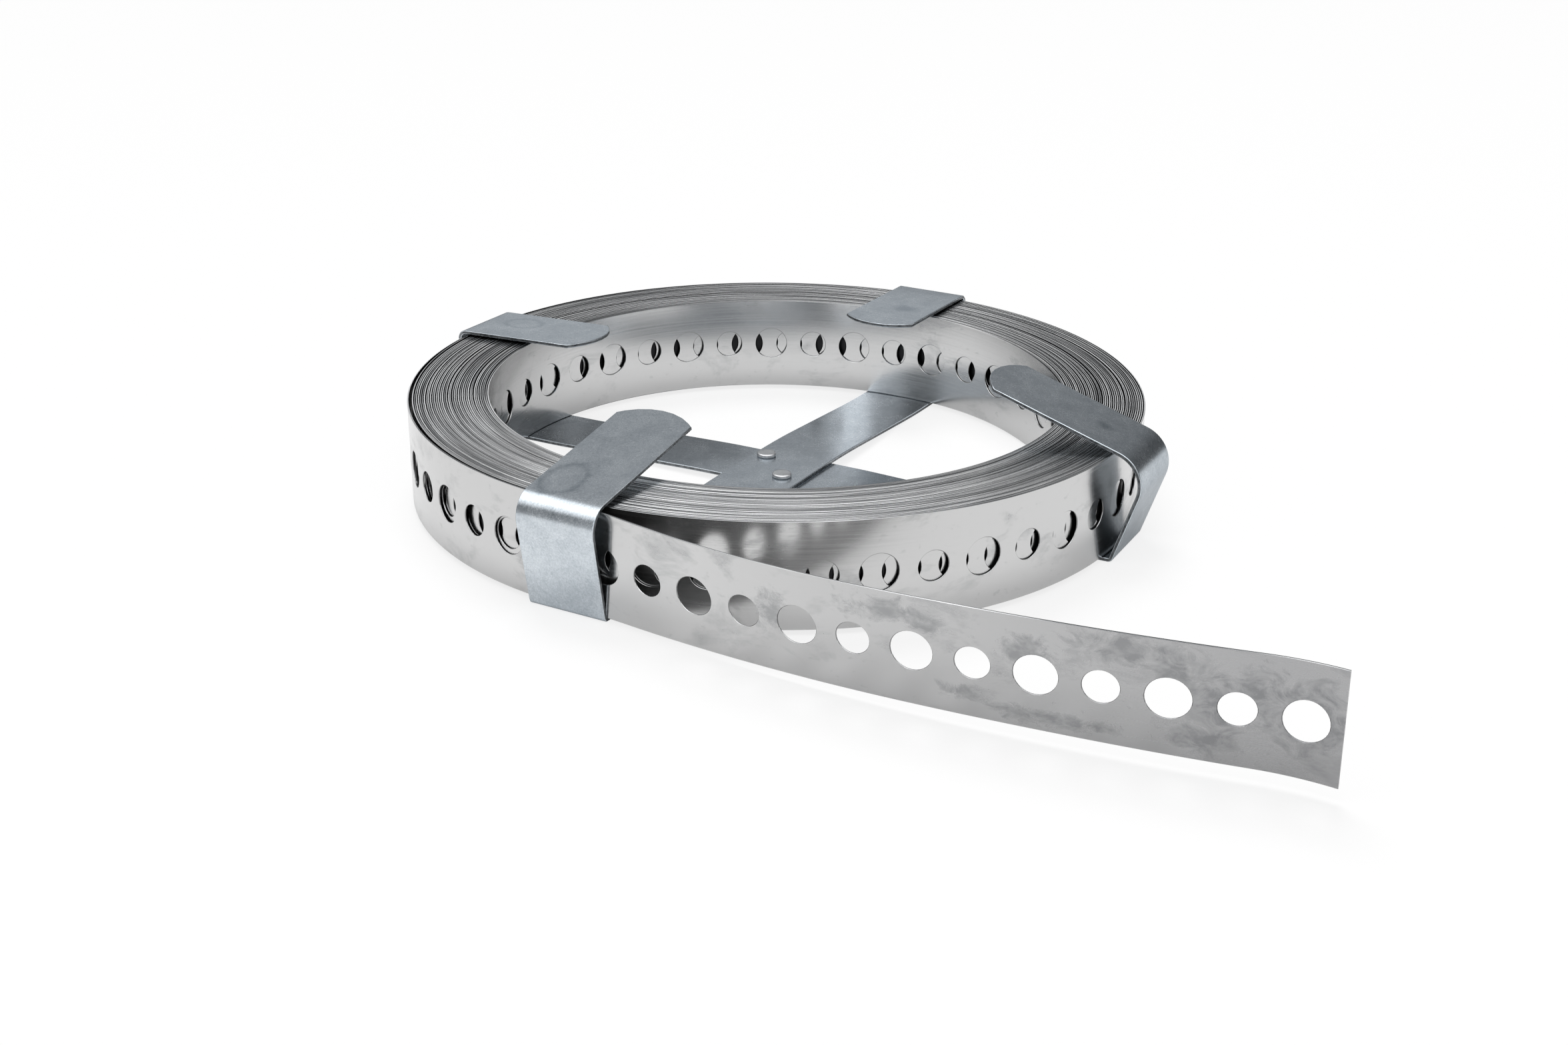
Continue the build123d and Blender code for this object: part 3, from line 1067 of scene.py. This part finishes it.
def glow_material(name, width, left, right):
    """A glowing panel that fades from one brightness at its left to another at its right."""
    material, tree, shader = new_material(name)
    tree.nodes.remove(shader)
    place = add_node(tree, "ShaderNodeTexCoord").outputs["Object"]
    across = add_node(tree, "ShaderNodeSeparateXYZ", {"Vector": place}).outputs["X"]
    fade = [(share - 0.5) * width for share in (fade_from, fade_to)]
    glow = add_node(tree, "ShaderNodeEmission", {"Color": (*panel_tint, 1)})
    tree.links.new(ranged(tree, across, *fade, left, right), glow.inputs["Strength"])
    tree.links.new(glow.outputs["Emission"], tree.nodes["Material Output"].inputs["Surface"])
    return material


def seen_directly(tree, by_camera, in_metal):
    """A value for what the camera sees, another for what metal or glass shows, 0 for light."""
    path = add_node(tree, "ShaderNodeLightPath")
    seen = calc(tree, "MULTIPLY", path.outputs["Is Camera Ray"], by_camera)
    for ray in ("Is Glossy Ray", "Is Transmission Ray"):
        seen = calc(tree, "MAXIMUM", seen, calc(tree, "MULTIPLY", path.outputs[ray], in_metal))
    return seen


def floor_material():
    """A white floor that the camera sees as white where nothing shades it."""
    material, tree, shader = new_material("floor")
    shader.inputs["Base Color"].default_value = (floor_white, floor_white, floor_white, 1)
    shader.inputs["Roughness"].default_value = floor_roughness
    shader.inputs["Specular IOR Level"].default_value = 0.0
    glow = add_node(tree, "ShaderNodeEmission", {"Color": (1, 1, 1, 1), "Strength": 1.0})
    seen = seen_directly(tree, floor_glow, floor_glow_in_metal)
    mix = add_node(tree, "ShaderNodeMixShader", {"Fac": seen})
    tree.links.new(shader.outputs["BSDF"], mix.inputs[1])
    tree.links.new(glow.outputs["Emission"], mix.inputs[2])
    tree.links.new(mix.outputs["Shader"], tree.nodes["Material Output"].inputs["Surface"])
    return material


def studio_place(azimuth, elevation, distance):
    """Where a lamp or panel stands, from its azimuth, elevation and distance."""
    turned, raised = radians(azimuth), radians(elevation)
    return Vector((cos(turned) * cos(raised), sin(turned) * cos(raised), sin(raised))) * distance


def light_studio():
    """A white world and floor, a soft sun, a lamp above, and panels for the metal."""
    scene = bpy.context.scene
    scene.view_settings.view_transform = "Standard"
    world = bpy.data.worlds.new("studio")
    scene.world = world
    world.use_nodes = True
    tree = world.node_tree
    seen = seen_directly(tree, 1.0, 1.0)
    back = tree.nodes["Background"]
    back.inputs["Color"].default_value = (1, 1, 1, 1)
    tree.links.new(ranged(tree, seen, 0, 1, world_light, 1.0), back.inputs["Strength"])
    stage_plane("floor", (floor_size, floor_size), (0, 0, 0), (0, 0, 1), floor_material())
    key = linked("key", bpy.data.lights.new("key", "SUN"))
    key.data.energy = key_strength
    key.data.angle = radians(key_spread)
    key.rotation_euler = (0, radians(90 - key_elevation), radians(key_azimuth))
    key.visible_glossy = False
    for name, azimuth, elevation, distance, size, power in lamps:
        place = studio_place(azimuth, elevation, distance)
        data = bpy.data.lights.new(name, "AREA")
        data.shape = "RECTANGLE"
        data.size, data.size_y = size
        data.energy = power
        lamp = linked(name, data)
        lamp.location = place
        lamp.rotation_euler = place.to_track_quat("Z", "Y").to_euler()
    for name, azimuth, elevation, distance, size, left, right in panels:
        glow = glow_material(name, size[0], left, right)
        panel = stage_plane(name, size, studio_place(azimuth, elevation, distance), (0, 0, 0), glow)
        panel.visible_camera = False
        panel.visible_shadow = False
        panel.visible_diffuse = False


strap = make_strap()
strap.data.materials.append(strap_material("rolled_strip", 1.0))
# Faces deep in the winding, in a dark painted shade
strap.data.materials.append(deep_shade_material())
# The strip in painted shade, for the free end's inner face, the upper hole rims and the walls through the
# holes
strap.data.materials.append(strap_material("shaded_strip", shaded_share))
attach(strap, "root")
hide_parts("perforated_strap")

# Each bar's azimuth, shift and base, its far and near ends, and the near tongue's skew
upper_form = (upper_bar_azimuth, upper_bar_shift, upper_bar_base, back_right_end, front_left_end, 0.0)
lower_form = (
    lower_bar_azimuth,
    lower_bar_shift,
    lower_bar_base,
    right_end,
    left_back_end,
    left_back_skew,
)
bars = (
    ("upper_bar", "upper_cross_bar", upper_form),
    ("lower_bar", "lower_cross_bar", lower_form),
)
sheared_edge_shade = sheared_material()
for seed, (name, node, form) in enumerate(bars):
    bar, length = make_bar(name, *form)
    dent_shades = [
        ((length - place[0] if end == "near" else place[0], place[1]), reach, kind)
        for end, place, reach, kind in bar_dent_shades[name]
    ]
    zinc = zinc_material(f"zinc_{name}", seed, bar_dark, bar_light, bar_roughness, dent_shades)
    bar.data.materials.append(zinc)
    bar.data.materials.append(sheared_edge_shade)
    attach(bar, "root")
    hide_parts(node)

rivet_zinc = zinc_material("zinc_rivet", 2, rivet_dark, rivet_light, rivet_roughness, ())
for number, side in ((1, 1), (2, -1)):
    reach = side * rivet_spacing / 2
    turned = radians(rivet_azimuth)
    place = (rivet_middle[0] + reach * cos(turned), rivet_middle[1] + reach * sin(turned))
    rivet = make_rivet(f"rivet_{number}", place)
    rivet.data.materials.append(rivet_zinc)
    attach(rivet, "root")
    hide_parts(f"cross_rivet_{number}")

place_camera()
light_studio()
